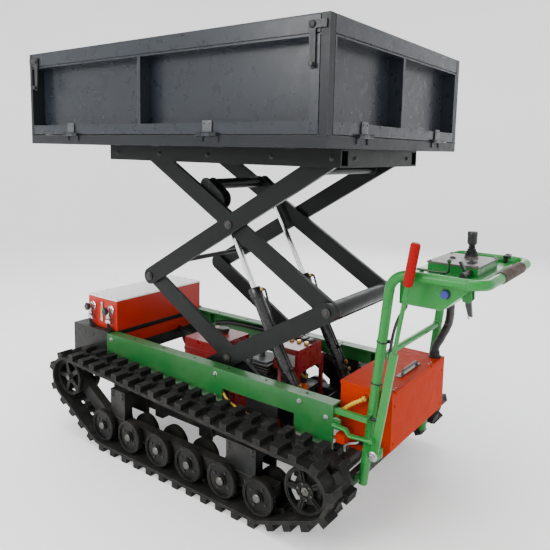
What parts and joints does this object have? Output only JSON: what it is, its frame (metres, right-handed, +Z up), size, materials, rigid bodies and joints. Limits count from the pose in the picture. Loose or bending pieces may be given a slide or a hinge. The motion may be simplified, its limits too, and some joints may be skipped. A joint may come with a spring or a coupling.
{
  "type": "tracked mini dumper",
  "caption": "Walk-behind tracked mini dumper with an open drop-side load bed on a two-stage hydraulic scissor lift, a rear tube handle and a control console.",
  "frame": {"origin": "ground level under the middle of the bounding box, on the machine's centre line", "axes": "+X forward, away from the operator, along the tracks; +Y to the machine's left; +Z up"},
  "size_m": [1.8952, 1.029, 1.6316],
  "materials": {
    "frame_green": "satin",
    "frame_black": "satin",
    "track_rubber": "matte",
    "wheel_steel": "satin",
    "motor_black": "satin",
    "engine_alloy": "matte",
    "shroud_red": "satin",
    "pump_alloy": "matte",
    "tank_orange": "gloss",
    "lid_white": "gloss",
    "fitting_steel": "gloss",
    "knob_black": "matte",
    "handle_green": "gloss",
    "grip_rubber": "matte",
    "plate_grey": "satin",
    "button_blue": "gloss",
    "rod_dark": "satin",
    "grip_red": "gloss",
    "loom_black": "matte",
    "hose_yellow": "satin",
    "lift_black": "satin",
    "barrel_black": "gloss",
    "rod_chrome": "mirror",
    "bed_steel": "satin",
    "bed_alloy": "satin",
    "latch_steel": "satin"
  },
  "bodies": {
    "chassis": {"side_rails": "frame_green", "nose_box": "frame_black", "belly_frame": "frame_black", "base_channels": "frame_black", "track_frame_left": "frame_black", "track_frame_right": "frame_black", "track_left": "track_rubber", "track_right": "track_rubber", "rollers_left": "wheel_steel", "rollers_right": "wheel_steel", "drive_motors": "motor_black", "engine_block": "engine_alloy", "engine_shroud": "shroud_red", "fuel_tank": "shroud_red", "hydraulic_pump": "pump_alloy", "valve_box": "shroud_red", "oil_tank": "tank_orange", "oil_tank_lid": "lid_white", "tank_valves": "fitting_steel", "battery_box": "tank_orange", "handle_left": "handle_green", "handle_right": "handle_green", "grip_bar": "handle_green", "hand_grip": "grip_rubber", "control_box": "handle_green", "console_plate": "plate_grey", "wiring_loom": "loom_black", "hydraulic_hoses": "hose_yellow"},
    "idler_left": {"idler_left": "wheel_steel"},
    "idler_right": {"idler_right": "wheel_steel"},
    "sprocket_left": {"sprocket_left": "wheel_steel"},
    "sprocket_right": {"sprocket_right": "wheel_steel"},
    "valve_knob_front": {"valve_knob_front": "knob_black"},
    "valve_knob_rear": {"valve_knob_rear": "knob_black"},
    "battery_lid": {"battery_lid": "tank_orange", "lid_handle": "plate_grey"},
    "joystick": {"joystick": "knob_black"},
    "stop_button": {"stop_button": "button_blue"},
    "speed_lever": {"speed_lever": "rod_dark"},
    "throttle_lever": {"throttle_lever": "knob_black"},
    "brake_lever": {"brake_lever": "knob_black"},
    "drive_lever": {"drive_lever": "handle_green", "lever_grip": "grip_red"},
    "drive_link": {"drive_link": "handle_green"},
    "lower_inner": {"lower_arms_inner": "lift_black"},
    "lower_outer": {"lower_arms_outer": "lift_black"},
    "upper_outer": {"upper_arms_outer": "lift_black"},
    "upper_inner": {"upper_arms_inner": "lift_black"},
    "barrels": {"cylinder_barrels": "barrel_black"},
    "rods": {"cylinder_rods": "rod_chrome"},
    "platform": {"subframe": "lift_black", "bed_floor": "bed_steel"},
    "panel_left": {"panel_left": "bed_alloy"},
    "panel_right": {"panel_right": "bed_alloy"},
    "panel_front": {"panel_front": "bed_alloy"},
    "panel_rear": {"panel_rear": "bed_alloy"},
    "latch_left_front": {"latch_left_front": "latch_steel"},
    "latch_left_rear": {"latch_left_rear": "latch_steel"},
    "latch_right_front": {"latch_right_front": "latch_steel"},
    "latch_right_rear": {"latch_right_rear": "latch_steel"}
  },
  "joints": [
    {"name": "lift", "type": "hinge", "parent": "chassis", "child": "lower_inner", "pos_m": [-0.401, 0, 0.184], "axis": [0, 1, 0], "range_deg": [0, 20]},
    {"name": "lower_cross", "type": "hinge", "parent": "lower_inner", "child": "lower_outer", "pos_m": [0.04489, 0, 0.44665], "axis": [0, 1, 0], "range_deg": [-40, 0]},
    {"name": "front_knee", "type": "hinge", "parent": "lower_inner", "child": "upper_outer", "pos_m": [0.49079, 0, 0.7093], "axis": [0, 1, 0], "range_deg": [-40, 0]},
    {"name": "upper_cross", "type": "hinge", "parent": "upper_outer", "child": "upper_inner", "pos_m": [0.04489, 0, 0.97195], "axis": [0, 1, 0], "range_deg": [0, 40]},
    {"name": "platform_level", "type": "hinge", "parent": "upper_outer", "child": "platform", "pos_m": [-0.401, 0, 1.2346], "axis": [0, 1, 0], "range_deg": [0, 20]},
    {"name": "cylinder_foot", "type": "hinge", "parent": "lower_inner", "child": "barrels", "pos_m": [-0.27406, 0, 0.29359], "axis": [0, 1, 0], "range_deg": [0, 8.7]},
    {"name": "cylinder_stroke", "type": "slide", "parent": "barrels", "child": "rods", "axis": [0.4806, 0, 0.8769], "range_m": [-0.335, 0]},
    {"name": "sprocket_left_spin", "type": "hinge", "parent": "chassis", "child": "sprocket_left", "pos_m": [-0.475, 0.394, 0.195], "axis": [0, 1, 0], "continuous": true},
    {"name": "idler_left_spin", "type": "hinge", "parent": "chassis", "child": "idler_left", "pos_m": [0.775, 0.394, 0.25], "axis": [0, 1, 0], "continuous": true},
    {"name": "sprocket_right_spin", "type": "hinge", "parent": "chassis", "child": "sprocket_right", "pos_m": [-0.475, -0.394, 0.195], "axis": [0, 1, 0], "continuous": true},
    {"name": "idler_right_spin", "type": "hinge", "parent": "chassis", "child": "idler_right", "pos_m": [0.775, -0.394, 0.25], "axis": [0, 1, 0], "continuous": true},
    {"name": "valve_front_turn", "type": "hinge", "parent": "chassis", "child": "valve_knob_front", "pos_m": [0.845, 0.298, 0.525], "axis": [0, 1, 0], "range_deg": [0, 90]},
    {"name": "valve_rear_turn", "type": "hinge", "parent": "chassis", "child": "valve_knob_rear", "pos_m": [0.715, 0.298, 0.525], "axis": [0, 1, 0], "range_deg": [0, 90]},
    {"name": "battery_lid_hinge", "type": "hinge", "parent": "chassis", "child": "battery_lid", "pos_m": [-0.655, 0, 0.489], "axis": [0, -1, 0], "range_deg": [0, 28]},
    {"name": "joystick_tilt", "type": "hinge", "parent": "chassis", "child": "joystick", "pos_m": [-0.79, -0.05, 0.914], "axis": [0, 1, 0], "range_deg": [-16, 16], "stiffness_Nm_per_rad": 1.2},
    {"name": "stop_button_press", "type": "slide", "parent": "chassis", "child": "stop_button", "axis": [0, -1, 0], "range_m": [0, 0.004], "stiffness_N_per_m": 400},
    {"name": "speed_lever_twist", "type": "hinge", "parent": "chassis", "child": "speed_lever", "pos_m": [-0.68, 0.14, 0.888], "axis": [1, 0, 0], "range_deg": [-22, 22]},
    {"name": "throttle_squeeze", "type": "hinge", "parent": "chassis", "child": "throttle_lever", "pos_m": [-0.852, 0.15, 0.822], "axis": [0, 1, 0], "range_deg": [0, 25], "stiffness_Nm_per_rad": 1},
    {"name": "brake_lever_turn", "type": "hinge", "parent": "chassis", "child": "brake_lever", "pos_m": [-0.838, 0.14, 0.893], "axis": [0, 1, 0], "range_deg": [-25, 0]},
    {"name": "drive_lever_swing", "type": "hinge", "parent": "chassis", "child": "drive_lever", "pos_m": [-0.628, 0.286, 0.298], "axis": [0, 1, 0], "range_deg": [-12, 6]},
    {"name": "drive_link_slide", "type": "slide", "parent": "chassis", "child": "drive_link", "axis": [1, 0, 0], "range_m": [-0.0116, 0.0058]},
    {"name": "panel_left_fold", "type": "hinge", "parent": "platform", "child": "panel_left", "pos_m": [0.185, 0.508, 1.3026], "axis": [-1, 0, 0], "range_deg": [0, 90]},
    {"name": "panel_right_fold", "type": "hinge", "parent": "platform", "child": "panel_right", "pos_m": [0.185, -0.508, 1.3026], "axis": [1, 0, 0], "range_deg": [0, 90]},
    {"name": "panel_front_fold", "type": "hinge", "parent": "platform", "child": "panel_front", "pos_m": [0.928, 0, 1.3026], "axis": [0, 1, 0], "range_deg": [0, 90]},
    {"name": "panel_rear_fold", "type": "hinge", "parent": "platform", "child": "panel_rear", "pos_m": [-0.558, 0, 1.3026], "axis": [0, -1, 0], "range_deg": [0, 7]},
    {"name": "latch_left_front_turn", "type": "hinge", "parent": "panel_left", "child": "latch_left_front", "pos_m": [0.867, 0.5, 1.6016], "axis": [0, 1, 0], "range_deg": [0, 90]},
    {"name": "latch_left_rear_turn", "type": "hinge", "parent": "panel_left", "child": "latch_left_rear", "pos_m": [-0.497, 0.5, 1.6016], "axis": [0, -1, 0], "range_deg": [0, 90]},
    {"name": "latch_right_front_turn", "type": "hinge", "parent": "panel_right", "child": "latch_right_front", "pos_m": [0.867, -0.5, 1.6016], "axis": [0, 1, 0], "range_deg": [0, 90]},
    {"name": "latch_right_rear_turn", "type": "hinge", "parent": "panel_right", "child": "latch_right_rear", "pos_m": [-0.497, -0.5, 1.6016], "axis": [0, -1, 0], "range_deg": [0, 90]}
  ],
  "couplings": [
    {"joint": "lower_cross", "follows": "lift", "ratio": -2},
    {"joint": "front_knee", "follows": "lift", "ratio": -2},
    {"joint": "upper_cross", "follows": "lift", "ratio": 2},
    {"joint": "platform_level", "follows": "lift", "ratio": 1},
    {"joint": "cylinder_foot", "follows": "lift", "ratio": 0.42971},
    {"joint": "cylinder_stroke", "follows": "lift", "m_per_rad": -0.9559},
    {"joint": "idler_left_spin", "follows": "sprocket_left_spin", "ratio": 1},
    {"joint": "idler_right_spin", "follows": "sprocket_right_spin", "ratio": 1},
    {"joint": "drive_link_slide", "follows": "drive_lever_swing", "m_per_rad": 0.055}
  ]
}
